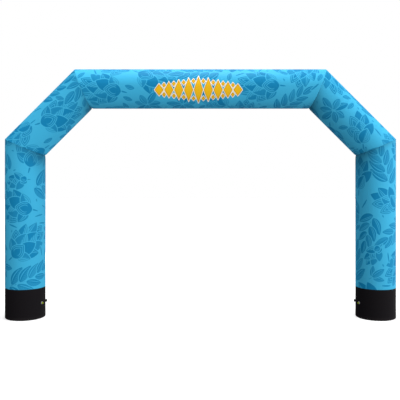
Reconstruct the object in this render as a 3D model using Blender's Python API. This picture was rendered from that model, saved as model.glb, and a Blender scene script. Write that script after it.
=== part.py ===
# Inflatable event arch: one sealed tube of five printed panels on two plain black bases.
# The centre line stands upright, leans in at each knee and runs level overhead.
# Neighbouring panels meet in mitres that halve the bend between them.
# Units are metres, +Z is up, and the origin is on the ground midway between the feet.

import math

import bmesh
import bpy
import numpy as np

# Driving dimensions
ARCH_WIDTH = 6.008          # over the outsides of the two legs
TUBE_RADIUS = 0.300
KNEE_HEIGHT = 2.6145        # where the centre line leans in
SHOULDER_RUN = 0.8993       # how far each shoulder reaches in, and up
BASE_HEIGHT = 0.4645
SEAM_GAP = 0.0003           # between neighbouring pieces

# Cloth shape at the seams and at the ground
TUBE_SIDES = 72
MITRE_EASE = 0.030          # how far from a mitre the cloth starts to turn in
MITRE_DRAW = 0.007          # how far the mitre seam pulls the cloth in
BAND_EASE = 0.012
BAND_DRAW = 0.003
EASE_STEPS = 3
FOOT_ROUND = 0.014          # turn of the wall into the ground disc
FOOT_STEPS = 5

# Valves, one pair on the inner side of each base
# A place is the turn towards the front from straight inwards, and the height
INFLATION_PLACE = (math.radians(20.0), 0.234)
RELIEF_PLACE = (math.radians(-13.6), 0.236)
VALVE_SIDES = 32
VALVE_SEAT_RINGS = 3
RING_RADIUS = 0.0180
RING_FLANGE = 0.0200
FLANGE_THICK = 0.003
RING_PROUD = 0.011
CAP_RADIUS = 0.0145
CAP_PROUD = 0.021
CAP_SINK = 0.004            # depth of the cap's seat in the ring
RELIEF_RADIUS = 0.0205
RELIEF_FLANGE = 0.0230
RELIEF_PROUD = 0.0235
EDGE_ROUND = 0.003

AXIS_X = ARCH_WIDTH / 2 - TUBE_RADIUS
CORNER_X = AXIS_X - SHOULDER_RUN
CORNER_HEIGHT = KNEE_HEIGHT + SHOULDER_RUN
ACROSS = np.array([0.0, 1.0, 0.0])


def clear_scene():
    for old in list(bpy.data.objects):
        bpy.data.objects.remove(old, do_unlink=True)


def make_material(name, colour, roughness, metallic=0.0):
    material = bpy.data.materials.new(name)
    material.use_nodes = True
    shader = material.node_tree.nodes["Principled BSDF"]
    shader.inputs["Base Color"].default_value = (*colour, 1.0)
    shader.inputs["Roughness"].default_value = roughness
    shader.inputs["Metallic"].default_value = metallic
    return material


# A skin through rings of points, each with as many points as the last, and a flat or pointed end.
def make_lofted_object(name, rings, material):
    mesh = bmesh.new()
    loops = [[mesh.verts.new(point) for point in ring] for ring in rings]
    for low, high in zip(loops, loops[1:]):
        count = len(low)
        for i in range(count):
            j = (i + 1) % count
            mesh.faces.new((low[i], low[j], high[j], high[i]))
    mesh.faces.new(list(reversed(loops[0])))
    mesh.faces.new(loops[-1])
    bmesh.ops.recalc_face_normals(mesh, faces=mesh.faces)
    data = bpy.data.meshes.new(name)
    mesh.to_mesh(data)
    mesh.free()
    data.materials.append(material)
    data.shade_smooth()
    data.set_sharp_from_angle(angle=math.radians(40))
    item = bpy.data.objects.new(name, data)
    bpy.context.collection.objects.link(item)
    return item


# Distance from a seam and pull-in there, along a quarter wave from the seam to the full tube.
def seam_profile(ease, draw):
    for step in range(EASE_STEPS + 1):
        share = step / EASE_STEPS
        yield ease * share, draw * (1 - math.sin(share * math.pi / 2))


# One ring of the tube, parallel to the cut plane at a joint of the centre line.
def tube_ring(joint, along, cut_normal, radius, inset):
    outward = np.cross(ACROSS, along)
    angles = np.arange(TUBE_SIDES) * (2 * math.pi / TUBE_SIDES)
    offset = radius * (np.outer(np.cos(angles), outward) + np.outer(np.sin(angles), ACROSS))
    slide = inset - offset @ cut_normal / (along @ cut_normal)
    return joint + offset + np.outer(slide, along)


# A panel from one joint to the next; each end has its cut plane, its ease and its pull-in.
def make_panel(name, start, end, material):
    along = end["joint"] - start["joint"]
    along = along / np.linalg.norm(along)
    rings = []
    for limit, inward in ((start, 1), (end, -1)):
        normal = limit["normal"] if limit["normal"] is not None else along
        half_gap = SEAM_GAP / 2 / abs(along @ normal)
        own = [
            tube_ring(limit["joint"], along, normal, TUBE_RADIUS - draw, inward * (half_gap + inset))
            for inset, draw in seam_profile(limit["ease"], limit["draw"])
        ]
        rings += own if inward == 1 else own[::-1]
    return make_lofted_object(name, rings, material)


def mitre(joint, along_before, along_after):
    normal = along_before + along_after
    return {
        "joint": joint,
        "normal": normal / np.linalg.norm(normal),
        "ease": MITRE_EASE,
        "draw": MITRE_DRAW,
    }


def make_base(name, side, material):
    foot = np.array([side * AXIS_X, 0.0, 0.0])
    up = np.array([0.0, 0.0, 1.0])
    rings = []
    for step in range(FOOT_STEPS + 1):
        turn = step / FOOT_STEPS * math.pi / 2
        radius = TUBE_RADIUS - FOOT_ROUND * (1 - math.sin(turn))
        rings.append(tube_ring(foot, up, up, radius, FOOT_ROUND * (1 - math.cos(turn))))
    top = BASE_HEIGHT - SEAM_GAP / 2
    for inset, draw in reversed(list(seam_profile(BAND_EASE, BAND_DRAW))):
        rings.append(tube_ring(foot, up, up, TUBE_RADIUS - draw, top - inset))
    return make_lofted_object(name, rings, material)


# Axes of a valve: its middle on the tube's centre line, out through the cloth, and level round the tube.
def valve_frame(side, place):
    turn, height = place
    outward = np.array([-side * math.cos(turn), -math.sin(turn), 0.0])
    level = np.array([-outward[1], outward[0], 0.0])
    centre = np.array([side * AXIS_X, 0.0, height])
    return centre, outward, level


# A round fitting seated on the curved cloth; its profile is radius and height above the cloth's crown.
# Rings of no height follow the cloth instead of lying flat.
def make_fitting(name, side, place, profile, material):
    centre, outward, level = valve_frame(side, place)
    upward = np.array([0.0, 0.0, 1.0])
    angles = np.arange(VALVE_SIDES) * (2 * math.pi / VALVE_SIDES)
    seat = TUBE_RADIUS + SEAM_GAP
    rings = []
    for radius, height in profile:
        level_part = radius * np.cos(angles)
        rise = np.sqrt(seat**2 - level_part**2) if height == 0 else np.full(VALVE_SIDES, seat + height)
        points = centre + np.outer(rise, outward) + np.outer(level_part, level)
        rings.append(points + np.outer(radius * np.sin(angles), upward))
    return make_lofted_object(name, rings, material)


# Rows over the seat on the cloth, out to the flange and up its edge
def flange_profile(radius):
    rows = [(radius * (ring + 0.5) / (VALVE_SEAT_RINGS + 0.5), 0) for ring in range(VALVE_SEAT_RINGS + 1)]
    return rows + [(radius, FLANGE_THICK / 2), (radius - FLANGE_THICK / 4, FLANGE_THICK)]


def make_inflation_valve(name, side, material):
    bore = CAP_RADIUS + SEAM_GAP
    floor = RING_PROUD - CAP_SINK
    profile = flange_profile(RING_FLANGE) + [
        (RING_RADIUS, FLANGE_THICK),
        (RING_RADIUS, RING_PROUD - EDGE_ROUND / 2),
        (RING_RADIUS - EDGE_ROUND / 2, RING_PROUD),
        (bore, RING_PROUD),
        (bore, floor),
        (bore / 2, floor),
    ]
    return make_fitting(name, side, INFLATION_PLACE, profile, material)


def make_inflation_cap(name, side, material):
    floor = RING_PROUD - CAP_SINK + SEAM_GAP
    profile = [
        (CAP_RADIUS / 2, floor),
        (CAP_RADIUS, floor),
        (CAP_RADIUS, CAP_PROUD - EDGE_ROUND),
        (CAP_RADIUS - EDGE_ROUND * 0.3, CAP_PROUD - EDGE_ROUND * 0.3),
        (CAP_RADIUS - EDGE_ROUND, CAP_PROUD),
    ]
    return make_fitting(name, side, INFLATION_PLACE, profile, material)


def make_relief_valve(name, side, material):
    profile = flange_profile(RELIEF_FLANGE) + [
        (RELIEF_RADIUS, FLANGE_THICK),
        (RELIEF_RADIUS, RELIEF_PROUD - EDGE_ROUND * 2),
        (RELIEF_RADIUS - EDGE_ROUND * 0.6, RELIEF_PROUD - EDGE_ROUND * 0.6),
        (RELIEF_RADIUS - EDGE_ROUND * 2, RELIEF_PROUD),
    ]
    return make_fitting(name, side, RELIEF_PLACE, profile, material)


def make_side(word, side, materials):
    up = np.array([0.0, 0.0, 1.0])
    lean = np.array([-side, 0.0, 1.0]) / math.sqrt(2)
    inward = np.array([-side, 0.0, 0.0])
    band = {"joint": np.array([side * AXIS_X, 0.0, BASE_HEIGHT]), "normal": up}
    band |= {"ease": BAND_EASE, "draw": BAND_DRAW}
    knee = mitre(np.array([side * AXIS_X, 0.0, KNEE_HEIGHT]), up, lean)
    corner = mitre(np.array([side * CORNER_X, 0.0, CORNER_HEIGHT]), lean, inward)
    make_base("base_" + word, side, materials["base"])
    make_panel("leg_" + word, band, knee, materials["print"])
    make_panel("shoulder_" + word, knee, corner, materials["print"])
    make_inflation_valve("inflation_valve_" + word, side, materials["ring"])
    make_inflation_cap("inflation_cap_" + word, side, materials["cap"])
    make_relief_valve("relief_valve_" + word, side, materials["relief"])
    return corner


def make_arch():
    clear_scene()
    materials = {
        "print": make_material("printed_cloth", (0.045, 0.40, 0.68), 0.55),
        "base": make_material("black_cloth", (0.010, 0.009, 0.011), 0.60),
        "ring": make_material("grey_plastic", (0.30, 0.30, 0.31), 0.40),
        "cap": make_material("green_plastic", (0.22, 0.30, 0.01), 0.35),
        "relief": make_material("black_plastic", (0.012, 0.011, 0.013), 0.35),
    }
    left_corner = make_side("left", -1, materials)
    right_corner = make_side("right", 1, materials)
    make_panel("beam", left_corner, right_corner, materials["print"])


make_arch()
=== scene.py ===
# Inflatable event arch in printed cloth, on two plain black bases.
# Sizes come from the frame. The cloth and its print, the seams, the valves, the floor and the light
# are made here.
import math

import bpy
import mathutils
import numpy as np
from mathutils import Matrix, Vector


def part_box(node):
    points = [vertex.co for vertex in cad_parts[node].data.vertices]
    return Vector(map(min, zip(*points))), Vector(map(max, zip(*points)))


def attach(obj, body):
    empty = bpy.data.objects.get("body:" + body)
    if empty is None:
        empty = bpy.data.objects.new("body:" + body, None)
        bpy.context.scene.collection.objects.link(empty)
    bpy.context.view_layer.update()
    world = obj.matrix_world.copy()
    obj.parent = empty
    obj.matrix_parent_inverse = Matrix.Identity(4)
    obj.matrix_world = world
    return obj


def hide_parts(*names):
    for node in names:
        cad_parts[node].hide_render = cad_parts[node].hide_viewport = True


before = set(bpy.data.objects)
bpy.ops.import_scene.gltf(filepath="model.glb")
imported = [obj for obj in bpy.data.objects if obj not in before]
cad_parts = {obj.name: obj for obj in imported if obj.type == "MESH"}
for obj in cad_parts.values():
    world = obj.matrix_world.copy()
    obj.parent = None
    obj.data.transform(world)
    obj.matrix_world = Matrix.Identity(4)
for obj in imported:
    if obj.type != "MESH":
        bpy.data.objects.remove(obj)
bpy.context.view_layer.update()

# What a user would change about the tube as a whole
tube = {
    "shoulderRun": 0.8993,       # how far each shoulder reaches in, and up
    "seamGap": 0.0003,           # between neighbouring pieces
    "sides": {"printed": 320, "beam": 264, "black": 200},           # fewer on the beam, the longest panel
    "step": {"printed": 0.0083, "beam": 0.0102, "black": 0.012},    # along the cloth, between rings
    "seamRings": (0, 0.0025, 0.006, 0.010, 0.015, 0.021, 0.028, 0.036),     # closer ones, beside a seam
    "mitreDrawOuter": 0.0006,    # how far the mitre seam pulls the cloth in, outside the bend
    "mitreDrawInner": 0.0065,    # and inside it
    "mitreEase": {"under": 0.030, "over": 0.016},     # below and above a crease
    "slipReach": 0.020,          # how far from a seam the drawn-in cloth slips along the tube too
    "bandDraw": 0.0016,
    "bandEase": 0.010,
    "puckers": 34,               # gathers round a mitre seam
    "puckerDrift": 2.2,          # how unevenly they are spaced
    "puckerDepth": 0.0008,
    "puckerReach": 0.050,
    "puckerStart": 0.006,        # how far from the seam they are full
    "footRound": 0.014,
    "paintedShadeDepth": {"under": 1.0, "over": 0.12},        # depth of the painted shade inside a bend
    "paintedShadeReach": {"under": (0.05, 0.13), "over": (0.02, 0.03)},     # how far the painted shade reaches: everywhere, and more inside the bend
    "kneeShade": 0.38,           # share of the painted shade that runs right round under a knee
}

baseLow, baseHigh = (np.array(corner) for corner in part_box("base_left"))
beamLow, beamHigh = (np.array(corner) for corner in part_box("beam"))
tubeRadius = (baseHigh[1] - baseLow[1]) / 2
axisX = -(baseLow[0] + baseHigh[0]) / 2
bandHeight = baseHigh[2] + tube["seamGap"] / 2
cornerHeight = (beamLow[2] + beamHigh[2]) / 2
cornerX = axisX - tube["shoulderRun"]
kneeHeight = cornerHeight - tube["shoulderRun"]
girth = 2 * math.pi * tubeRadius
print("frame read: tube radius", round(tubeRadius, 4), "girth", round(girth, 3))

# The centre line, from the left foot over to the right foot, and the panel on each stretch of it
centreLine = np.array([
    (-axisX, 0, 0), (-axisX, 0, bandHeight), (-axisX, 0, kneeHeight), (-cornerX, 0, cornerHeight),
    (cornerX, 0, cornerHeight), (axisX, 0, kneeHeight), (axisX, 0, bandHeight), (axisX, 0, 0),
])
panelNames = ["base_left", "leg_left", "shoulder_left", "beam", "shoulder_right", "leg_right", "base_right"]
stretches = np.diff(centreLine, axis=0)
directions = stretches / np.linalg.norm(stretches, axis=1)[:, None]
halfway = directions[:-1] + directions[1:]
cuts = np.vstack([directions[0], halfway / np.linalg.norm(halfway, axis=1)[:, None], directions[-1]])


def newObject(name, data):
    item = bpy.data.objects.new(name, data)
    bpy.context.collection.objects.link(item)
    return item


# Angles of points spread evenly round a circle
def evenTurns(count):
    return np.arange(count) * (2 * math.pi / count)


# Puts rings of points into a closed mesh: quads between rings, and a fan at each end to the ring's middle.
# Points run round the tube and then along it, so that quads face outwards.
def skinMesh(name, rows, uvRound, uvAlong):
    along, around = rows.shape[:2]
    points = np.concatenate([rows.reshape(-1, 3), [rows[0].mean(0), rows[-1].mean(0)]])
    i, j = np.meshgrid(np.arange(along - 1), np.arange(around), indexing="ij")
    nextJ = (j + 1) % around
    low, high = i * around, (i + 1) * around
    quads = np.stack([low + j, low + nextJ, high + nextJ, high + j], -1).reshape(-1, 4)
    ring = np.arange(around)
    nextRing = (ring + 1) % around
    lastRow = (along - 1) * around
    firstFan = np.stack([np.full(around, len(points) - 2), nextRing, ring], -1)
    lastFan = np.stack([np.full(around, len(points) - 1), lastRow + ring, lastRow + nextRing], -1)
    corners = np.concatenate([quads.ravel(), firstFan.ravel(), lastFan.ravel()])
    sizes = np.concatenate([np.full(len(quads), 4), np.full(2 * around, 3)])
    mesh = bpy.data.meshes.new(name)
    mesh.vertices.add(len(points))
    mesh.vertices.foreach_set("co", points.astype(np.float32).ravel())
    mesh.loops.add(len(corners))
    mesh.loops.foreach_set("vertex_index", corners.astype(np.int32))
    mesh.polygons.add(len(sizes))
    starts = np.concatenate([[0], np.cumsum(sizes)[:-1]])
    mesh.polygons.foreach_set("loop_start", starts.astype(np.int32))
    mesh.update(calc_edges=True)
    smooth = np.concatenate([np.ones(len(quads), bool), np.zeros(2 * around, bool)])
    mesh.polygons.foreach_set("use_smooth", smooth)
    # The cloth map is in metres, round and along, and each face keeps to one side of the back line
    turn = j.reshape(-1, 1) + np.array([0, 1, 1, 0])
    level = i.reshape(-1, 1) + np.array([0, 0, 1, 1])
    quadMap = np.stack([turn * (uvRound / around), uvAlong[level, turn % around]], -1)
    fanTurn = np.stack([ring + 0.5, ring + 1, ring], -1) * (uvRound / around)
    firstMap = np.stack([fanTurn, np.full(fanTurn.shape, uvAlong[0].mean())], -1)
    lastTurn = np.stack([ring + 0.5, ring, ring + 1], -1) * (uvRound / around)
    lastMap = np.stack([lastTurn, np.full(lastTurn.shape, uvAlong[-1].mean())], -1)
    cloth = np.concatenate([quadMap.reshape(-1, 2), firstMap.reshape(-1, 2), lastMap.reshape(-1, 2)])
    layer = mesh.uv_layers.new(name="clothMetres")
    layer.uv.foreach_set("vector", cloth.astype(np.float32).ravel())
    mesh.validate()
    return newObject(name, mesh)


# Three numbers for each point of a skin, and their values at its two end points
def setAttribute(item, name, columns, atEnds):
    values = [np.append(column, [end, end]) for column, end in zip(columns, atEnds)]
    layer = item.data.attributes.new(name, "FLOAT_VECTOR", "POINT")
    layer.data.foreach_set("vector", np.column_stack(values).astype(np.float32).ravel())


# Inset of the cloth near a seam: a quarter sine from the seam line out to the full tube.
def seamInset(distance, ease, draw):
    share = np.clip(distance / ease, 0, 1)
    return draw * (1 - np.sin(share * math.pi / 2)) ** 1.3


# Share of the bend that is inside: 1 at the middle of the inner side, 0 at the outer side.
def insideBend(angles):
    return ((1 + np.cos(angles)) / 2) ** 2


# Soft gathers round a mitre seam: a cosine round the tube with a drifting phase, fading away from the seam.
def gathers(angles, distance, phase):
    wave = np.cos(tube["puckers"] * angles + tube["puckerDrift"] * np.sin(3 * angles + phase) + phase)
    fade = np.exp(-((distance / tube["puckerReach"]) ** 2)) * np.clip(distance / tube["puckerStart"], 0, 1)
    return tube["puckerDepth"] * (0.35 + 0.65 * insideBend(angles)) * fade * (0.5 + 0.5 * wave)


# One printed panel: a round tube between two slanting cuts. A point is the start joint, plus the radius
# turned by its angle, plus a slide along the tube that runs evenly from one cut plane to the other.
# It gives the piece, the angles, the slides, and how far each point is from the two cut planes.
def tubePanel(index, fineness, seamKinds):
    sides, step = tube["sides"][fineness], tube["step"][fineness]
    start, end = centreLine[index], centreLine[index + 1]
    way = directions[index]
    inner = np.cross((0, 1, 0), way)
    length = np.linalg.norm(end - start)
    angles = math.pi / 2 + evenTurns(sides)     # from the back, round by the outer side
    spoke = np.outer(np.cos(angles), inner) + np.outer(np.sin(angles), (0, 1, 0))
    endCuts = (cuts[index], cuts[index + 1])
    slant = [-(spoke @ cut) / (way @ cut) for cut in endCuts]
    gap = [tube["seamGap"] / 2 / (way @ cut) for cut in endCuts]
    first = tubeRadius * slant[0] + gap[0]
    last = length + tubeRadius * slant[1] - gap[1]
    near = np.array(tube["seamRings"])
    count = max(3, round((length - 2 * near[-1]) / step))
    middle = np.linspace(0, 1, count + 1)[1:-1]
    span = (last - first)[None, :]
    fromStart = np.vstack([
        np.repeat(near[:, None], sides, 1),
        near[-1] + middle[:, None] * (span - 2 * near[-1]),
        span - near[::-1, None],
    ])
    fromEnd = span - fromStart
    inset = np.zeros_like(fromStart)
    for distance, kind, phase in ((fromStart, seamKinds[0], index), (fromEnd, seamKinds[1], index + 1)):
        if kind == "band":
            inset += seamInset(distance, tube["bandEase"], tube["bandDraw"])
            continue
        share = insideBend(angles)[None, :]
        draw = tube["mitreDrawOuter"] + (tube["mitreDrawInner"] - tube["mitreDrawOuter"]) * share
        inset += seamInset(distance, tube["mitreEase"][kind] * (1 + share), draw)
        inset += gathers(angles[None, :], distance, phase)
    along = fromStart + first[None, :]
    # A drawn-in point slips along the tube too, so that the seam stays on the cut plane
    reach = tube["slipReach"]
    slip = np.exp(-fromStart / reach) * slant[0] + np.exp(-fromEnd / reach) * slant[1]
    rows = start + (tubeRadius - inset)[..., None] * spoke + (along - inset * slip)[..., None] * way
    item = skinMesh(panelNames[index] + "_cloth", rows, girth, along)
    return item, angles, along, (fromStart * (way @ endCuts[0]), fromEnd * (way @ endCuts[1]))


# The print. A motif is a list of leaflets, painted one over the other as a stencil cutter lays them:
# x and y of the root and the way it points, length and width, ink tone, style of its inner drawing, how
# round its root and tip are, and how far it curves. Sizes are shares of the motif's own length.
plain, ribbed, rimmed, streaked, nested = 0, 1, 2, 3, 4


def leaflet(x, y, turn, length, width, tone=1.0, style=plain, root=0.5, tip=0.85, curve=0.0):
    return dict(x=x, y=y, turn=math.radians(turn), length=length, width=width, tone=tone, style=style,
                root=root, tip=tip, curve=curve)


# A closed bud of overlapping bracts, laid from the tip back to the stem. A row is given by the height and
# the spread of its bracts' tips. Each bract leans out by its fan and curves back in, so that the whole is
# egg-shaped.
def budMotif(bractRows, styles):
    parts = [leaflet(0, 0.06, 183, 0.22, 0.035, 0.9, plain, 0.6, 0.6, 0.12)]
    tones = [0.96, 1.0, 0.86, 1.0, 0.92, 0.84, 1.0]
    for height, spread, fan, length, width in bractRows:
        for side in (-1, 1) if spread else (0,):
            lean = math.radians(side * fan)
            x = side * spread - length * math.sin(lean)
            y = height - length * math.cos(lean)
            order = len(parts)
            parts.append(leaflet(x, y, -side * fan, length, width, tones[order % len(tones)],
                                 styles[order % len(styles)], 0.70, 0.95, -0.06 * side))
    return parts


bigBud = budMotif([
    # tip's height, spread, fan, length, width
    (1.00, 0.00, 0, 0.40, 0.23),
    (0.93, 0.19, 18, 0.44, 0.23),
    (0.73, 0.34, 34, 0.44, 0.24),
    (0.78, 0.00, 0, 0.44, 0.29),
    (0.47, 0.40, 52, 0.42, 0.25),
    (0.58, 0.18, 20, 0.42, 0.28),
    (0.24, 0.34, 66, 0.34, 0.22),
    (0.37, 0.00, 0, 0.38, 0.30),
], [rimmed, nested, streaked, nested, rimmed, plain, rimmed, nested, streaked, rimmed, plain, streaked])
openBud = budMotif([
    (1.00, 0.00, 0, 0.46, 0.27),
    (0.86, 0.27, 26, 0.48, 0.28),
    (0.68, 0.00, 0, 0.46, 0.34),
    (0.55, 0.41, 50, 0.46, 0.28),
    (0.42, 0.19, 30, 0.42, 0.32),
], [rimmed, plain, nested, streaked, rimmed, nested, plain, nested])
smallBud = budMotif([
    (1.00, 0.00, 0, 0.52, 0.30),
    (0.84, 0.25, 24, 0.54, 0.31),
    (0.64, 0.00, 0, 0.50, 0.37),
    (0.50, 0.38, 46, 0.48, 0.29),
    (0.26, 0.12, 30, 0.26, 0.24),
], [plain, rimmed, plain, streaked, nested])


# A curved stem with leaves in pairs that grow shorter and lean forwards towards the tip.
def sprayMotif(pairs, bend, reach, broad, style):
    stem = np.linspace(0, 0.76, pairs + 1)
    parts = []
    for low, high in zip(stem, stem[1:]):
        turn = math.degrees(math.atan2(bend * (high**2 - low**2), high - low))
        parts.append(leaflet(-bend * low**2, low, turn, (high - low) * 1.15, 0.018, 0.8, plain, 0.3, 0.3))
    for k, y in enumerate(stem[:-1]):
        lean = math.degrees(math.atan(2 * bend * y))
        share = k / pairs
        for side in (-1, 1):
            spread = 52 - 22 * share
            size = reach * (1 - 0.34 * share) * (1.0 if side > 0 else 0.93)
            root = y + (0.07 if side > 0 else 0.0)
            tone = 0.98 if (k + side) % 3 else 0.84
            parts.append(leaflet(-bend * root**2 - side * 0.018, root, lean + side * spread,
                                 size, size * broad, tone, style, 0.68, 0.86, side * 0.14))
    lean = math.degrees(math.atan(1.52 * bend))
    size = reach * 0.78
    parts.append(leaflet(-bend * 0.58, 0.76, lean, size, size * broad, 1.0, style, 0.68, 0.86))
    return parts


# Leaves that spread all round from one point, long and short in turn.
def rosetteMotif(count):
    parts = []
    for k in range(count):
        turn = 360 * k / count + 8 * math.sin(2.4 * k)
        reach = 0.47 if k % 2 else 0.37
        x, y = -0.035 * math.sin(math.radians(turn)), 0.035 * math.cos(math.radians(turn))
        style = (ribbed, streaked, ribbed)[k % 3]
        parts.append(leaflet(x, y, turn, reach, 0.20, 0.86 + 0.14 * (k % 2), style, 0.75, 0.72, 0.1))
    return parts


def sprigMotif():
    parts = [leaflet(0, -0.25, 0, 0.30, 0.03, 0.8, plain, 0.4, 0.4)]
    for turn, reach in ((60, 0.64), (-56, 0.68), (2, 0.80)):
        parts.append(leaflet(0, 0.02, turn, reach, reach * 0.42, 0.95, ribbed, 0.65, 0.8, 0.002 * turn))
    return parts


looseLeaf = [leaflet(0, -0.5, 0, 1, 0.46, 0.95, ribbed, 0.75, 0.8, 0.12)]
spindle = [leaflet(0, -0.5, 0, 1, 0.14, 0.9, plain, 0.6, 0.6, 0.08)]
fleck = [leaflet(0, -0.5, 0, 1, 0.45, 0.7, plain, 0.6, 0.6)]

# Kinds of motif, large ones first. The circles keep other motifs off: x, y and radius, as shares of the
# length.
motifKinds = [
    # how many in a repeat, length in metres, the drawing, circles
    (7, 0.62, bigBud, [(0, 0.30, 0.38), (0, 0.70, 0.30)]),
    (5, 0.70, sprayMotif(4, 0.20, 0.42, 0.44, ribbed),
     [(0, 0.24, 0.31), (-0.06, 0.60, 0.27), (-0.14, 0.90, 0.10)]),
    (6, 0.50, openBud, [(0, 0.30, 0.38), (0, 0.70, 0.32)]),
    (4, 0.62, sprayMotif(4, -0.26, 0.40, 0.42, ribbed),
     [(0, 0.22, 0.29), (0.08, 0.58, 0.27), (0.19, 0.88, 0.10)]),
    (2, 0.46, rosetteMotif(7), [(0, 0, 0.44)]),
    (4, 0.50, sprayMotif(3, 0.10, 0.50, 0.46, streaked), [(0, 0.28, 0.34), (-0.03, 0.72, 0.24)]),
    (6, 0.33, smallBud, [(0, 0.30, 0.38), (0, 0.68, 0.30)]),
    (7, 0.25, sprigMotif(), [(0, 0.25, 0.48)]),
    (18, 0.14, looseLeaf, [(0, 0, 0.42)]),
    (24, 0.15, spindle, [(0, -0.25, 0.24), (0, 0.25, 0.24)]),
    (20, 0.045, fleck, [(0, 0, 0.6)]),
]
printRepeat = {
    "width": 1.86, "height": 4.0, "seed": 4, "tries": 4000,
    "clear": 0.012,      # room kept between the motifs' circles
    "swell": 1.06,       # motifs are painted larger than they are laid out, by this much
    "gap": 0.0120,       # of bare cloth round each leaflet
    "far": 0.05,         # the distance that is given where no leaflet is near
}


# Lays the repeat out: each motif in turn is dropped at random and kept if its circles clear all the others,
# across the edges of the repeat too.
def layRepeat():
    random = np.random.default_rng(printRepeat["seed"])
    size = np.array([printRepeat["width"], printRepeat["height"]])
    taken = np.zeros((0, 3))
    placed = []
    for left, length, parts, circles in motifKinds:
        keep = np.array(circles) * length
        for _ in range(printRepeat["tries"]):
            if left == 0:
                break
            spot = random.random(2) * size
            turn = random.random() * 2 * math.pi
            way = np.array([[math.cos(turn), -math.sin(turn)], [math.sin(turn), math.cos(turn)]])
            centres = spot + keep[:, :2] @ way.T
            radii = keep[:, 2]
            away = centres[:, None, :] - taken[None, :, :2]
            away -= size * np.round(away / size)
            clear = np.hypot(away[..., 0], away[..., 1]) - radii[:, None] - taken[None, :, 2]
            if clear.size and clear.min() < printRepeat["clear"]:
                continue
            taken = np.vstack([taken, np.column_stack([centres, radii])])
            placed.append((spot, turn, length, parts))
            left -= 1
    return placed


# Half width of a leaflet at a share t of its length: t to one power times (1 - t) to another, scaled so
# that it reaches 1
def leafWidth(t, root, tip):
    widest = root / (root + tip)
    return t**root * (1 - t) ** tip / (widest**root * (1 - widest) ** tip)


# Distance of each point from a closed outline: the least over the outline's sides
def distanceToOutline(points, outline):
    side = np.roll(outline, -1, axis=0) - outline
    away = points[:, None, :] - outline
    share = np.clip((away * side).sum(-1) / np.maximum((side**2).sum(-1), 1e-12), 0, 1)
    away = away - share[..., None] * side
    return np.sqrt((away**2).sum(-1).min(1))


# Paints the repeat on cloth points. It returns, for each point: the edge of the ink as a distance (inside
# is more than 0), tone and style; and place along and across the leaflet on top, and distance to its edge.
def paintPrint(around, along, placed):
    count = len(around)
    far = printRepeat["far"]
    ink = np.full(count, -far)
    rim = np.full(count, far)
    tone, style, leafU, leafV = np.zeros((4, count))
    shares = 0.5 - 0.5 * np.cos(np.linspace(0, math.pi, 20))
    gap = printRepeat["gap"]
    reach = 0.03     # how far beside a leaflet points are still measured
    repeatWidth, height = printRepeat["width"], printRepeat["height"]
    for spot, turn, size, parts in placed:
        scale = size * printRepeat["swell"]
        cosine, sine = math.cos(turn), math.sin(turn)
        awayX = around - spot[0]
        awayX -= repeatWidth * np.round(awayX / repeatWidth)
        awayY = along - spot[1]
        awayY -= height * np.round(awayY / height)
        close = np.nonzero(awayX**2 + awayY**2 < (1.2 * scale + far) ** 2)[0]
        awayX, awayY = awayX[close], awayY[close]
        for part in parts:
            dx = awayX - scale * (part["x"] * cosine - part["y"] * sine)
            dy = awayY - scale * (part["x"] * sine + part["y"] * cosine)
            point = turn + part["turn"]
            length, width = part["length"] * scale, part["width"] * scale
            # p runs from root to tip, q across
            p = -dx * math.sin(point) + dy * math.cos(point)
            q = dx * math.cos(point) + dy * math.sin(point)
            broad = width / 2 + reach + abs(part["curve"]) * length
            inReach = (p > -reach) & (p < length + reach) & (np.abs(q) < broad)
            if not inReach.any():
                continue
            near = close[inReach]
            p, q = p[inReach], q[inReach]
            half = width / 2 * leafWidth(shares, part["root"], part["tip"])
            sweep = part["curve"] * length
            outline = np.concatenate([
                np.column_stack([shares * length, sweep * shares**2 + half]),
                np.column_stack([shares[-2:0:-1] * length, (sweep * shares**2 - half)[-2:0:-1]]),
            ])
            t = np.clip(p / length, 1e-4, 1 - 1e-4)
            here = width / 2 * leafWidth(t, part["root"], part["tip"])
            aside = q - sweep * t**2
            inside = (p > 0) & (p < length) & (np.abs(aside) < here)
            distance = distanceToOutline(np.column_stack([p, q]), outline)
            distance = np.where(inside, -distance, distance)
            top = distance < np.maximum(gap / 2, rim[near])
            ink[near] = np.maximum(np.minimum(ink[near], distance - gap), -distance)
            spots = near[top]
            rim[spots] = distance[top]
            tone[spots] = part["tone"]
            style[spots] = part["style"]
            leafU[spots] = t[top]
            leafV[spots] = np.clip(aside[top] / np.maximum(here[top], width * 0.08), -1.6, 1.6)
    return (ink, tone, style), (leafU, leafV, rim)


# The ornament in the middle of the beam's front: a spindle of lozenges, tallest in the middle, with small
# ones between their tips. Its place is along the beam and up the cloth, from the middle of the front.
ornament = {
    "middle": -0.03, "rise": -0.062, "count": 9, "pitch": 0.147, "halfWidth": 0.068, "tallest": 0.215,
    "taper": 0.031, "smallHalf": (0.030, 0.040), "smallShare": 0.66, "outline": 0.0085,
}


# Distance to a lozenge, from its half sizes: the sum of the shares of both, less one, over the slope.
def lozenge(x, y, half):
    return (np.abs(x) / half[0] + np.abs(y) / half[1] - 1) / math.hypot(1 / half[0], 1 / half[1])


def ornamentField(x, y):
    field = np.full(x.shape, 0.5)
    columns = np.arange(ornament["count"]) - (ornament["count"] - 1) / 2
    heights = ornament["tallest"] - ornament["taper"] * np.abs(columns)
    pitch = ornament["pitch"]
    for column, height in zip(columns, heights):
        field = np.minimum(field, lozenge(x - column * pitch, y, (ornament["halfWidth"], height)))
    for first, height in zip(columns[:-1], (heights[:-1] + heights[1:]) / 2):
        rise = height * ornament["smallShare"]
        for side in (-1, 1):
            small = lozenge(x - (first + 0.5) * pitch, y - side * rise, ornament["smallHalf"])
            field = np.minimum(field, small)
    return field


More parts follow.
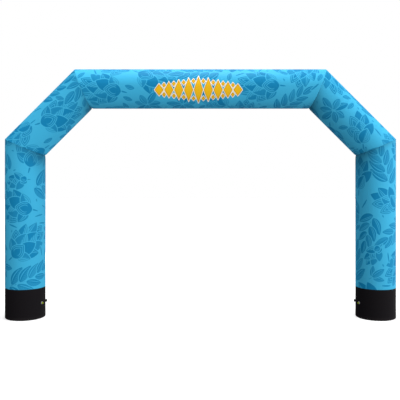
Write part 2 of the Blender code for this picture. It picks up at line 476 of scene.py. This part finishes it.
# Small helpers for shader nodes
def newMaterial(name):
    material = bpy.data.materials.new(name)
    material.use_nodes = True
    return material, material.node_tree, material.node_tree.nodes["Principled BSDF"]


# Links a socket, or sets a constant on it
def feed(socket, value):
    if isinstance(value, bpy.types.NodeSocket):
        socket.id_data.links.new(value, socket)
    else:
        socket.default_value = value


def feedAll(node, values):
    for label, value in values.items():
        feed(node.inputs[label], value)
    return node.outputs


# A maths node on one or two values, and the same again for each further one
def calc(operation, *values):
    tree = next(value.id_data for value in values if isinstance(value, bpy.types.NodeSocket))
    node = tree.nodes.new("ShaderNodeMath")
    node.operation = operation
    for socket, value in zip(node.inputs, values[:2]):
        feed(socket, value)
    return calc(operation, node.outputs[0], *values[2:]) if values[2:] else node.outputs[0]


def times(*values):
    return calc("MULTIPLY", *values)


def plus(*values):
    return calc("ADD", *values)


def most(*values):
    return calc("MAXIMUM", *values)


def invert(value):
    return calc("SUBTRACT", 1.0, value)


def apart(first, second):
    return calc("ABSOLUTE", calc("SUBTRACT", first, second))


# 0 below low, 1 above high, and a smooth step between them
def smoothStep(value, low, high):
    node = value.id_data.nodes.new("ShaderNodeMapRange")
    node.interpolation_type = "SMOOTHSTEP"
    return feedAll(node, {"Value": value, "From Min": low, "From Max": high})["Result"]


def mixColour(share, first, second):
    node = share.id_data.nodes.new("ShaderNodeMix")
    node.data_type = "RGBA"
    return feedAll(node, {"Factor": share, "A": first, "B": second})["Result"]


def noiseTexture(vector, scale, detail, roughness=0.5):
    node = vector.id_data.nodes.new("ShaderNodeTexNoise")
    values = {"Vector": vector, "Scale": scale, "Detail": detail, "Roughness": roughness}
    return feedAll(node, values)["Fac"]


def splitVector(vector):
    node = vector.id_data.nodes.new("ShaderNodeSeparateXYZ")
    feed(node.inputs[0], vector)
    return node.outputs


def readVector(tree, name):
    node = tree.nodes.new("ShaderNodeAttribute")
    node.attribute_name = name
    return splitVector(node.outputs["Vector"])


def objectPlace(tree):
    return tree.nodes.new("ShaderNodeTexCoord").outputs["Object"]


def clothMap(tree):
    node = tree.nodes.new("ShaderNodeUVMap")
    node.uv_map = "clothMetres"
    return node.outputs[0]


def newGroup(name, inputs, outputs):
    group = bpy.data.node_groups.new(name, "ShaderNodeTree")
    for way, sockets in (("INPUT", inputs), ("OUTPUT", outputs)):
        for label, kind in sockets.items():
            group.interface.new_socket(label, in_out=way, socket_type="NodeSocket" + kind)
    return group, group.nodes.new("NodeGroupInput").outputs, group.nodes.new("NodeGroupOutput").inputs


def useGroup(tree, group, **values):
    node = tree.nodes.new("ShaderNodeGroup")
    node.node_tree = group
    return feedAll(node, values)


def addBump(height, strength, distance):
    node = height.id_data.nodes.new("ShaderNodeBump")
    return feedAll(node, {"Strength": strength, "Distance": distance, "Height": height})["Normal"]


# Coated plain weave: threads both ways as a product of sines on the cloth map, with uneven yarns
weaveLook = {"uneven": 38.0, "slow": 2.6, "weaveHeight": 0.35, "unevenHeight": 0.5, "slowShare": 0.6}


def makeWeaveGroup():
    group, given, out = newGroup(
        "coatedWeave", {"Map": "Vector", "Place": "Vector", "Threads": "Float"},
        {"Height": "Float", "Mottle": "Float"})
    around, along, _ = splitVector(given["Map"])
    weave = times(*(calc("SINE", times(way, given["Threads"])) for way in (around, along)))
    uneven = noiseTexture(given["Place"], weaveLook["uneven"], 3.0)
    slow = noiseTexture(given["Place"], weaveLook["slow"], 2.0)
    height = plus(times(weave, weaveLook["weaveHeight"]), times(uneven, weaveLook["unevenHeight"]))
    feed(out["Height"], height)
    slowShare = weaveLook["slowShare"]
    feed(out["Mottle"], plus(times(uneven, 1 - slowShare), times(slow, slowShare)))
    return group


# A seam, in metres: a dark fold right at the join, and two rows of short stitches beside it
seamLook = {
    "fold": (0.0006, 0.0040),       # the dark line fades out between these distances
    "rows": (0.0075, 0.0135),       # of stitches, away from the join
    "thread": (0.0005, 0.0011),     # half a stitch's width, and where it has faded out
    "pitch": 0.0065,                # from stitch to stitch
    "halfStitch": 0.34,             # as a share of the pitch
    "raised": 0.6,                  # stitches stand out by this share of the fold's depth
}


def makeSeamGroup():
    group, given, out = newGroup(
        "sewnSeam", {"Away": "Float", "Map": "Vector"},
        {"Fold": "Float", "Stitch": "Float", "Height": "Float"})
    fold = invert(smoothStep(given["Away"], *seamLook["fold"]))
    feed(out["Fold"], fold)
    row = calc("MINIMUM", *(apart(given["Away"], place) for place in seamLook["rows"]))
    inRow = invert(smoothStep(row, *seamLook["thread"]))
    dash = calc("FRACT", times(splitVector(given["Map"])[0], 1 / seamLook["pitch"]))
    on = calc("LESS_THAN", apart(dash, 0.5), seamLook["halfStitch"])
    stitch = times(inRow, on)
    feed(out["Stitch"], stitch)
    feed(out["Height"], calc("SUBTRACT", times(stitch, seamLook["raised"]), fold))
    return group


# The inner drawing of the leaflets, as light lines and a paler half, chosen by the style number.
# Depths from the edge are in metres, and the rest in shares of the leaflet's length or half width.
leafLook = {
    "softEdge": 0.0012, "lightLines": 0.88,
    "veins": 7.0, "edgeLine": -0.44, "veinShare": 0.42,
    "lap": 0.027, "rimmedDepth": 0.081, "nestedDepth": 0.054, "streaks": 2.7,
    "palerHalf": ((ribbed, 0.16), (rimmed, 0.34)),
}


def makeLeafPrintGroup():
    labels = ("Ink", "Tone", "Style", "Along", "Across", "Rim", "Mottle")
    group, given, out = newGroup("leafPrint", dict.fromkeys(labels, "Float"), {"Shade": "Float"})

    def isStyle(number):
        return calc("LESS_THAN", apart(given["Style"], float(number)), 0.3)

    def line(value, centre, half):
        return invert(smoothStep(apart(value, centre), half * 0.7, half * 1.3))

    fill = smoothStep(given["Ink"], -leafLook["softEdge"], leafLook["softEdge"])
    depth = times(given["Rim"], -1.0)
    nearTip = smoothStep(given["Along"], 0.84, 0.92)
    betweenTips = times(smoothStep(given["Along"], 0.07, 0.14), invert(nearTip))
    rightHalf = smoothStep(given["Across"], -0.10, 0.10)
    # Ribbed: one light line beside the edge, and slanting veins on the other, paler half
    edgeLine = line(given["Across"], leafLook["edgeLine"], 0.11)
    slope = plus(times(given["Along"], leafLook["veins"]), times(calc("ABSOLUTE", given["Across"]), -2.0))
    veins = times(line(calc("FRACT", slope), 0.5, 0.14), rightHalf, leafLook["veinShare"])
    ribs = times(most(edgeLine, veins), betweenTips, isStyle(ribbed))
    # Rimmed: light lines that follow the edge on one side. Nested: on both sides
    lap = line(calc("FRACT", times(depth, 1 / leafLook["lap"])), 0.66, 0.21)
    shallow = calc("LESS_THAN", depth, leafLook["rimmedDepth"])
    rims = times(lap, shallow, rightHalf, isStyle(rimmed))
    shallow = calc("LESS_THAN", depth, leafLook["nestedDepth"])
    nests = times(lap, shallow, smoothStep(given["Along"], 0.25, 0.40), isStyle(nested))
    # Streaked: lines from root to tip on one half, which stop short of the edge
    fan = line(calc("FRACT", times(given["Across"], leafLook["streaks"])), 0.5, 0.22)
    leftHalf = calc("LESS_THAN", given["Across"], 0.05)
    streaks = times(fan, leftHalf, smoothStep(depth, 0.006, 0.012), isStyle(streaked))
    inBody = smoothStep(depth, 0.002, 0.005)
    lines = times(most(ribs, rims, nests, streaks), inBody, leafLook["lightLines"])
    paler = most(*(times(isStyle(style), share) for style, share in leafLook["palerHalf"]))
    paler = times(paler, rightHalf)
    patchy = plus(0.88, times(given["Mottle"], 0.24))
    shade = times(fill, given["Tone"], invert(lines), invert(paler), patchy)
    feed(out["Shade"], calc("MINIMUM", shade, 1.0))
    return group


# The last steps of both cloths: colour, roughness that varies with the mottle, gloss, and bump
def finishCloth(shader, look, colour, cloth, seamHeight):
    vary = look["roughVary"]
    height = plus(times(cloth["Height"], look["weaveHeight"]), seamHeight)
    feedAll(shader, {
        "Base Color": colour, "Specular IOR Level": look["specular"],
        "Roughness": plus(look["roughness"] - vary / 2, times(cloth["Mottle"], vary)),
        "Normal": addBump(height, look["bump"], 0.0008),
    })


printedLook = {
    "ground": (0.045, 0.405, 0.662, 1), "ink": (0.0042, 0.205, 0.425, 1),
    "gold": (0.86, 0.49, 0.010, 1), "goldDeep": (0.60, 0.29, 0.004, 1), "cream": (0.92, 0.86, 0.70, 1),
    # Colours of the cloth, its print and ornament, the painted shade in a bend, and the seams
    "paintedShade": (0.008, 0.10, 0.17, 1), "shadow": (0.004, 0.06, 0.11, 1), "thread": (0.03, 0.28, 0.48, 1),
    "seamShadow": (0.12, 0.40),     # of the dark seam line: everywhere, and more as painted shade in a fold
    "paintedShadeShare": (0.72, 0.3),      # painted shade in a fold: everywhere, and more where it is mottled
    "seamThread": 0.25, "backShadow": 0.45, "backThread": 0.30,
    "roughness": 0.56, "roughVary": 0.10, "specular": 0.07,
    "threads": 2 * math.pi / 0.0022, "weaveHeight": 0.25, "bump": 0.35,
}


def makePrintedCloth(weave, seam, leafPrint):
    look = printedLook
    material, tree, shader = newMaterial("printedCloth")
    surface = clothMap(tree)
    cloth = useGroup(tree, weave, Map=surface, Place=objectPlace(tree), Threads=look["threads"])
    ink, tone, style = readVector(tree, "inkToneStyle")
    along, across, rim = readVector(tree, "leafPlace")
    # The seam's distance, the ornament, and the depth of painted shade inside a bend
    seamAway, badge, fold = readVector(tree, "seamBadgeShade")
    printed = useGroup(tree, leafPrint, Ink=ink, Tone=tone, Style=style, Along=along, Across=across,
                       Rim=rim, Mottle=cloth["Mottle"])
    colour = mixColour(printed["Shade"], look["ground"], look["ink"])
    # The ornament: gold with a deeper gold edge, inside a cream outline
    edge = ornament["outline"]
    outline = invert(smoothStep(badge, edge - 0.001, edge + 0.001))
    colour = mixColour(outline, colour, look["cream"])
    inner = invert(smoothStep(badge, -0.001, 0.001))
    gold = mixColour(smoothStep(badge, -0.016, -0.004), look["gold"], look["goldDeep"])
    colour = mixColour(inner, colour, gold)
    # The seams at both ends: a dark line at the join, deepened by painted shade inside a bend
    sewn = useGroup(tree, seam, Away=seamAway, Map=surface)
    least, more = look["seamShadow"]
    colour = mixColour(times(sewn["Fold"], plus(least, times(fold, more))), colour, look["shadow"])
    colour = mixColour(times(sewn["Stitch"], look["seamThread"]), colour, look["thread"])
    # The lengthwise seam runs down the back, where the cloth map begins and ends
    around, lengthwise, _ = splitVector(surface)
    turned = tree.nodes.new("ShaderNodeCombineXYZ")
    feed(turned.inputs[0], lengthwise)
    backAway = calc("MINIMUM", around, calc("SUBTRACT", girth, around))
    back = useGroup(tree, seam, Away=backAway, Map=turned.outputs[0])
    colour = mixColour(times(back["Fold"], look["backShadow"]), colour, look["shadow"])
    colour = mixColour(times(back["Stitch"], look["backThread"]), colour, look["thread"])
    # Painted shade in the fold inside a bend, uneven with the mottle
    least, more = look["paintedShadeShare"]
    paintedShade = times(fold, plus(least, times(cloth["Mottle"], more)))
    colour = mixColour(paintedShade, colour, look["paintedShade"])
    finishCloth(shader, look, colour, cloth, plus(sewn["Height"], back["Height"]))
    return material


blackLook = {
    "cloth": (0.0064, 0.0053, 0.0067, 1), "dust": (0.045, 0.041, 0.038, 1), "dustHeight": 0.07,
    "dustShare": 0.22, "thread": (0.03, 0.03, 0.033, 1), "seamThread": 0.35,
    "roughness": 0.62, "roughVary": 0.12, "specular": 0.06,
    "threads": 2 * math.pi / 0.0026, "weaveHeight": 0.4, "bump": 0.4,
}


def makeBlackCloth(weave, seam):
    look = blackLook
    material, tree, shader = newMaterial("blackCloth")
    place, surface = objectPlace(tree), clothMap(tree)
    cloth = useGroup(tree, weave, Map=surface, Place=place, Threads=look["threads"])
    seamAway, _, _ = readVector(tree, "seamBadgeShade")
    sewn = useGroup(tree, seam, Away=seamAway, Map=surface)
    # Dust on the lowest part of the wall
    low = invert(smoothStep(splitVector(place)[2], 0.0, look["dustHeight"]))
    colour = mixColour(times(low, cloth["Mottle"], look["dustShare"]), look["cloth"], look["dust"])
    colour = mixColour(times(sewn["Stitch"], look["seamThread"]), colour, look["thread"])
    finishCloth(shader, look, colour, cloth, sewn["Height"])
    return material


# Moulded plastic with a fine grain and paler scuffs
def makeMouldedGroup():
    group, given, out = newGroup(
        "mouldedFinish", {"Place": "Vector", "Colour": "Color", "Worn": "Color"},
        {"Tint": "Color", "Roughness": "Float", "Height": "Float"})
    grain = noiseTexture(given["Place"], 900.0, 2.0)
    scuffs = noiseTexture(given["Place"], 120.0, 4.0, 0.7)
    worn = times(smoothStep(scuffs, 0.56, 0.72), 0.5)
    feed(out["Tint"], mixColour(worn, given["Colour"], given["Worn"]))
    feed(out["Roughness"], plus(0.34, times(scuffs, 0.16)))
    feed(out["Height"], grain)
    return group


plasticLooks = {
    # colour, colour of the scuffs, specular level
    "greyPlastic": ((0.30, 0.295, 0.31, 1), (0.40, 0.395, 0.41, 1), 0.20),
    "greenPlastic": ((0.22, 0.29, 0.004, 1), (0.29, 0.35, 0.02, 1), 0.12),
    "blackPlastic": ((0.012, 0.011, 0.013, 1), (0.03, 0.03, 0.032, 1), 0.35),
}


def makePlastic(name, moulded):
    colour, worn, specular = plasticLooks[name]
    material, tree, shader = newMaterial(name)
    finish = useGroup(tree, moulded, Place=objectPlace(tree), Colour=colour, Worn=worn)
    feedAll(shader, {"Base Color": finish["Tint"], "Roughness": finish["Roughness"],
                     "Specular IOR Level": specular, "Normal": addBump(finish["Height"], 0.25, 0.0002)})
    return material


weaveGroup = makeWeaveGroup()
seamGroup = makeSeamGroup()
mouldedGroup = makeMouldedGroup()
printedCloth = makePrintedCloth(weaveGroup, seamGroup, makeLeafPrintGroup())
blackCloth = makeBlackCloth(weaveGroup, seamGroup)
plastics = {name: makePlastic(name, mouldedGroup) for name in plasticLooks}
print("materials made")


# Puts a finished piece in its node's place
def dress(item, node, material):
    item.data.materials.append(material)
    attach(item, "root")
    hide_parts(node)


# Where the print's repeat starts on each panel, round and along the tube, so that no two panels match
printStart = {
    "leg_left": (0.657, 0.20), "shoulder_left": (1.617, 3.40), "beam": (-0.013, 3.0),
    "shoulder_right": (0.157, 0.15), "leg_right": (1.117, 3.10),
}


# The kind of seam at each end: a square band seam, or a crease that the panel lies under or over
def seamKindsOf(index):
    middleHeight = centreLine[index:index + 2, 2].mean()
    kinds = []
    for end in (index, index + 1):
        square = abs(cuts[end] @ directions[index]) > 0.999
        higher = centreLine[end, 2] > middleHeight + 0.01
        kinds.append("band" if square else "under" if higher else "over")
    return kinds


def makePrintedPanel(name, placed):
    index = panelNames.index(name)
    kinds = seamKindsOf(index)
    fineness = "beam" if name == "beam" else "printed"
    item, angles, along, seamSpans = tubePanel(index, fineness, kinds)
    around = np.broadcast_to((angles - math.pi / 2) * tubeRadius, along.shape)
    shift = printStart[name]
    inks, places = paintPrint((around + shift[0]).ravel(), (along + shift[1]).ravel(), placed)
    # The front of the tube is half a girth from the back line, and along the beam is the way to the right
    badge = np.full(along.shape, 0.5)
    if name == "beam":
        middle = np.linalg.norm(stretches[index]) / 2
        badge = ornamentField(along - middle - ornament["middle"], girth / 2 - around - ornament["rise"])
    # Painted shade in a fold: deepest on the inner side of a bend, close to its mitre, and most of all
    # below the crease
    fold = np.zeros(along.shape)
    inside = insideBend(angles)[None, :]
    for end, kind in enumerate(kinds):
        if kind != "band":
            isKnee = centreLine[index + end, 2] < kneeHeight + 0.01
            allRound = tube["kneeShade"] if isKnee else 0.0
            near, more = tube["paintedShadeReach"][kind]
            fade = np.exp(-((seamSpans[end] / (near + more * inside)) ** 1.3))
            fold += tube["paintedShadeDepth"][kind] * (allRound + (1 - allRound) * inside**1.5) * fade
    setAttribute(item, "inkToneStyle", inks, (-printRepeat["far"], 0, 0))
    setAttribute(item, "leafPlace", places, (0, 0, 0))
    # The third value is the depth of the painted shade
    setAttribute(item, "seamBadgeShade", [np.minimum(*seamSpans), badge, fold], (0, 0.5, 0))
    dress(item, name, printedCloth)
    print(name, len(item.data.polygons), "faces, inked share", round(float((inks[0] > 0).mean()), 2))


placedMotifs = layRepeat()
print("print laid out with", len(placedMotifs), "motifs")
for panelName in printStart:
    makePrintedPanel(panelName, placedMotifs)


# A black base: a turned wall on a flat disc, with a quarter-round foot and a drawn-in band seam at the top
baseRings = {
    "disc": (0.12, 7), "foot": 9,       # where the disc's rings start, as a share of its radius, and counts
    "belowBand": 0.014, "band": (0.010, 0.0075, 0.005, 0.0025, 0),     # down from the top
    "discSeam": 0.7,                    # height of the seam round the ground disc, as a share of the foot
}


def makeBase(name, side):
    sides = tube["sides"]["black"]
    angles = math.pi / 2 + evenTurns(sides)
    foot = tube["footRound"]
    turn = np.linspace(0, math.pi / 2, baseRings["foot"])
    top = bandHeight - tube["seamGap"] / 2
    hub, discCount = baseRings["disc"]
    flat = np.linspace(hub, 1, discCount + 1)[:-1] * (tubeRadius - foot)
    wall = np.linspace(foot, top - baseRings["belowBand"], round((top - foot) / tube["step"]["black"]))[1:]
    band = top - np.array(baseRings["band"])
    heights = np.concatenate([0 * flat, foot * (1 - np.cos(turn)), wall, band])
    radii = np.concatenate([flat, tubeRadius - foot * (1 - np.sin(turn)), 0 * wall + tubeRadius,
                            tubeRadius - seamInset(top - band, tube["bandEase"], tube["bandDraw"])])
    rows = np.stack([
        side * axisX + np.outer(radii, np.cos(angles)),
        np.outer(radii, np.sin(angles)),
        np.repeat(heights[:, None], sides, 1),
    ], -1)
    run = np.concatenate([[0], np.cumsum(np.hypot(np.diff(radii), np.diff(heights)))])
    item = skinMesh(name + "_cloth", rows, girth, np.repeat(run[:, None], sides, 1))
    # Away from the ground disc's seam, at the foot, or from the band seam at the top
    fromDisc = np.abs(heights - foot * baseRings["discSeam"]) + 0.5 * (radii < tubeRadius - foot)
    seamAway = np.repeat(np.minimum(fromDisc, top - heights), sides)
    zero = np.zeros(len(seamAway))
    setAttribute(item, "seamBadgeShade", [seamAway, zero + 0.5, zero], (0, 0.5, 0))
    dress(item, name, blackCloth)
    print(name, len(item.data.polygons), "faces")


makeBase("base_left", -1)
makeBase("base_right", 1)

# Valves, with radii and heights above the crown of the cloth, as in the frame. Edges are the radii of their
# rounding, ribs are depth and number, and a dish is the radius of its lip and of its floor, and its depth.
valve = {
    # Places: the turn towards the front from straight inwards, and the height
    "inflation": (math.radians(20.0), 0.234), "relief": (math.radians(-13.6), 0.236),
    "sides": 96, "flangeThick": 0.003, "flangeEdge": 0.0007, "hub": 0.004,
    "flange": 0.0200, "ring": 0.0180, "ringProud": 0.011, "ringEdge": 0.0018, "ringRibs": (0.0008, 32),
    "cap": 0.0145, "capProud": 0.021, "capSink": 0.004, "capEdge": 0.0026, "capRibs": (0.0012, 12),
    "capDish": (0.0105, 0.0095, 0.0012),
    "reliefFlange": 0.0230, "knob": 0.0205, "reliefProud": 0.0235, "knobEdge": 0.0040,
    "knobRibs": (0.0018, 24), "ribTop": 0.0145, "ribEnd": 0.0165, "knobDish": (0.012, 0.011, 0.001),
}


# A turned fitting on the curved cloth. A profile row is radius, height above the cloth's crown, and for
# grip ribs their depth and number. Rows of no height follow the cloth.
def turnedFitting(name, side, place, profile):
    turn, height = place
    outward = np.array([-side * math.cos(turn), -math.sin(turn), 0])
    level = np.array([-outward[1], outward[0], 0])
    centre = np.array([side * axisX, 0, height])
    seat = tubeRadius + tube["seamGap"]
    angles = evenTurns(valve["sides"])
    rows = []
    for radius, proud, *grip in profile:
        depth, count = grip or (0, 0)
        reach = radius - depth * (0.5 + 0.5 * np.cos(count * angles))
        levelPart = reach * np.cos(angles)
        rise = np.sqrt(seat**2 - levelPart**2) if proud == 0 else np.full(len(angles), seat + proud)
        rows.append(centre + np.outer(rise, outward) + np.outer(levelPart, level)
                    + np.outer(reach * np.sin(angles), (0, 0, 1)))
    run = np.repeat(np.arange(len(rows))[:, None] * 0.002, len(angles), 1)
    item = skinMesh(name, np.array(rows), 0.14, run)
    item.data.set_sharp_from_angle(angle=math.radians(38))
    return item


# Rows over the seat, which follow the cloth, and round the flange's edge
def flangeRows(radius):
    seat = [(radius * share, 0) for share in (0.15, 0.4, 0.7, 1.0)]
    return seat + roundedEdge(radius, valve["flangeThick"], valve["flangeEdge"])


# Rows round a quarter turn, from a vertical wall to a level top
def roundedEdge(radius, height, edge, depth=0, count=0):
    return [(radius - edge * (1 - math.cos(turn)), height - edge * (1 - math.sin(turn)),
             depth * math.cos(turn), count) for turn in np.linspace(0, math.pi / 2, 5)]


# Rows over a level top and down into a shallow dish
def dishRows(proud, dish):
    lip, floor, depth = dish
    return [(lip, proud), (floor, proud - depth), (valve["hub"], proud - depth)]


def makeValves(word, side):
    thick, gap = valve["flangeThick"], tube["seamGap"]
    ring, cap, knob = valve["ring"], valve["cap"], valve["knob"]
    top, sunk = valve["ringProud"], valve["ringProud"] - valve["capSink"]
    bore = cap + gap
    rows = flangeRows(valve["flange"]) + [(ring, thick), (ring, thick + 0.001, *valve["ringRibs"])]
    rows += roundedEdge(ring, top, valve["ringEdge"], *valve["ringRibs"])
    rows += [(bore, top), (bore, sunk), (bore / 2, sunk)]
    item = turnedFitting("inflation_ring_" + word, side, valve["inflation"], rows)
    dress(item, "inflation_valve_" + word, plastics["greyPlastic"])
    rows = [(cap / 2, sunk + gap), (cap, sunk + gap), (cap, top + 0.001)]
    rows += [(cap, top + 0.002, *valve["capRibs"])]
    rows += roundedEdge(cap, valve["capProud"], valve["capEdge"], *valve["capRibs"])
    rows += dishRows(valve["capProud"], valve["capDish"])
    item = turnedFitting("screw_cap_" + word, side, valve["inflation"], rows)
    dress(item, "inflation_cap_" + word, plastics["greenPlastic"])
    depth, count = valve["knobRibs"]
    rows = flangeRows(valve["reliefFlange"]) + [(knob, thick), (knob, thick + 0.002, 0.0005, count)]
    rows += [(knob, thick + 0.004, depth, count), (knob, valve["ribTop"], depth, count)]
    rows += [(knob, valve["ribEnd"])] + roundedEdge(knob, valve["reliefProud"], valve["knobEdge"])
    rows += dishRows(valve["reliefProud"], valve["knobDish"])
    item = turnedFitting("relief_knob_" + word, side, valve["relief"], rows)
    dress(item, "relief_valve_" + word, plastics["blackPlastic"])


makeValves("left", -1)
makeValves("right", 1)
print("valves made")

# Studio: a pale floor, a soft surround, and soft boxes overhead, at both sides of the front and behind.
# Levels are what a white wall facing the light would show, at 1 m for the soft boxes.
studio = {
    "floorSize": 160.0, "floorColour": (0.85, 0.85, 0.85, 1),
    "floorGlow": (0.45, 0.80), "glowReach": (4.0, 12.0),     # near and far, and where it changes
    "surround": 0.563, "surroundSlope": (0.438, -0.246, 0.134),
    "boxes": [
        # name, place, what it is aimed at, size, level
        ("overheadBox", (0, 0, 11), (0, 0, 0), 3.0, 65.7),
        ("leftBox", (-5, -4, 4.5), (-1.5, 0, 2.6), 1.6, 6.6),
        ("rightBox", (8, -4, 4.5), (0.5, 0, 2.6), 2.0, 24.9),
        ("backBox", (-3, 9, 3.0), (0, 0, 2.2), 4.0, 40.0),
    ],
}


def makeFloor():
    half = studio["floorSize"] / 2
    mesh = bpy.data.meshes.new("floor")
    corners = [(-half, -half, 0), (half, -half, 0), (half, half, 0), (-half, half, 0)]
    mesh.from_pydata(corners, [], [(0, 1, 2, 3)])
    floor = newObject("floor", mesh)
    material, tree, shader = newMaterial("paleFloor")
    # The floor glows white further out, where the soft boxes no longer reach
    away = tree.nodes.new("ShaderNodeVectorMath")
    away.operation = "LENGTH"
    feed(away.inputs[0], objectPlace(tree))
    share = smoothStep(away.outputs["Value"], *studio["glowReach"])
    near, far = studio["floorGlow"]
    glow = plus(times(share, far - near), near)
    feedAll(shader, {"Base Color": studio["floorColour"], "Roughness": 0.9, "Specular IOR Level": 0.0,
                     "Emission Color": (1, 1, 1, 1), "Emission Strength": glow})
    mesh.materials.append(material)
    floor.visible_diffuse = floor.visible_glossy = floor.visible_shadow = False


# The surround is plain white to the camera. It lights the cloth with an even grey that slopes gently with
# direction.
def makeSurround():
    world = bpy.data.worlds.new("surround")
    bpy.context.scene.world = world
    world.use_nodes = True
    tree = world.node_tree
    tree.nodes.clear()
    way = tree.nodes.new("ShaderNodeTexCoord").outputs["Generated"]
    dot = tree.nodes.new("ShaderNodeVectorMath")
    dot.operation = "DOT_PRODUCT"
    feed(dot.inputs[0], way)
    feed(dot.inputs[1], studio["surroundSlope"])
    level = plus(dot.outputs["Value"], studio["surround"])
    ray = tree.nodes.new("ShaderNodeLightPath")
    mix = tree.nodes.new("ShaderNodeMixShader")
    feed(mix.inputs[0], ray.outputs["Is Camera Ray"])
    for socket, strength in ((mix.inputs[1], level), (mix.inputs[2], 1.0)):
        white = tree.nodes.new("ShaderNodeBackground")
        feed(socket, feedAll(white, {"Color": (1, 1, 1, 1), "Strength": strength})[0])
    out = tree.nodes.new("ShaderNodeOutputWorld")
    feed(out.inputs["Surface"], mix.outputs[0])


def makeSoftBox(name, place, aim, size, level):
    light = bpy.data.lights.new(name, "AREA")
    light.size = size
    light.energy = level * math.pi**2
    item = newObject(name, light)
    item.location = place
    way = mathutils.Vector(aim) - mathutils.Vector(place)
    item.rotation_euler = way.to_track_quat("-Z", "Y").to_euler()
    item.visible_camera = False
    item.visible_glossy = name != "backBox"     # or it would whiten the cloth's edges


# Fitted to the picture: metres, and the rest in its pixels
view = {
    "distance": 8.6106, "height": 2.0135, "pictureSide": 400, "focal": 557.3,
    "centreColumn": 200.45, "horizonRow": 186.25,
}


def makeCamera():
    side = view["pictureSide"]
    data = bpy.data.cameras.new("camera")
    data.sensor_width = 36.0
    data.lens = view["focal"] * data.sensor_width / side
    data.shift_x = (side / 2 - view["centreColumn"]) / side
    data.shift_y = (view["horizonRow"] - side / 2) / side
    camera = newObject("camera", data)
    camera.location = (0, -view["distance"], view["height"])
    camera.rotation_euler = (math.radians(90), 0, 0)
    bpy.context.scene.camera = camera


makeFloor()
makeSurround()
for box in studio["boxes"]:
    makeSoftBox(*box)
makeCamera()
bpy.context.scene.view_settings.view_transform = "Standard"
print("studio made")
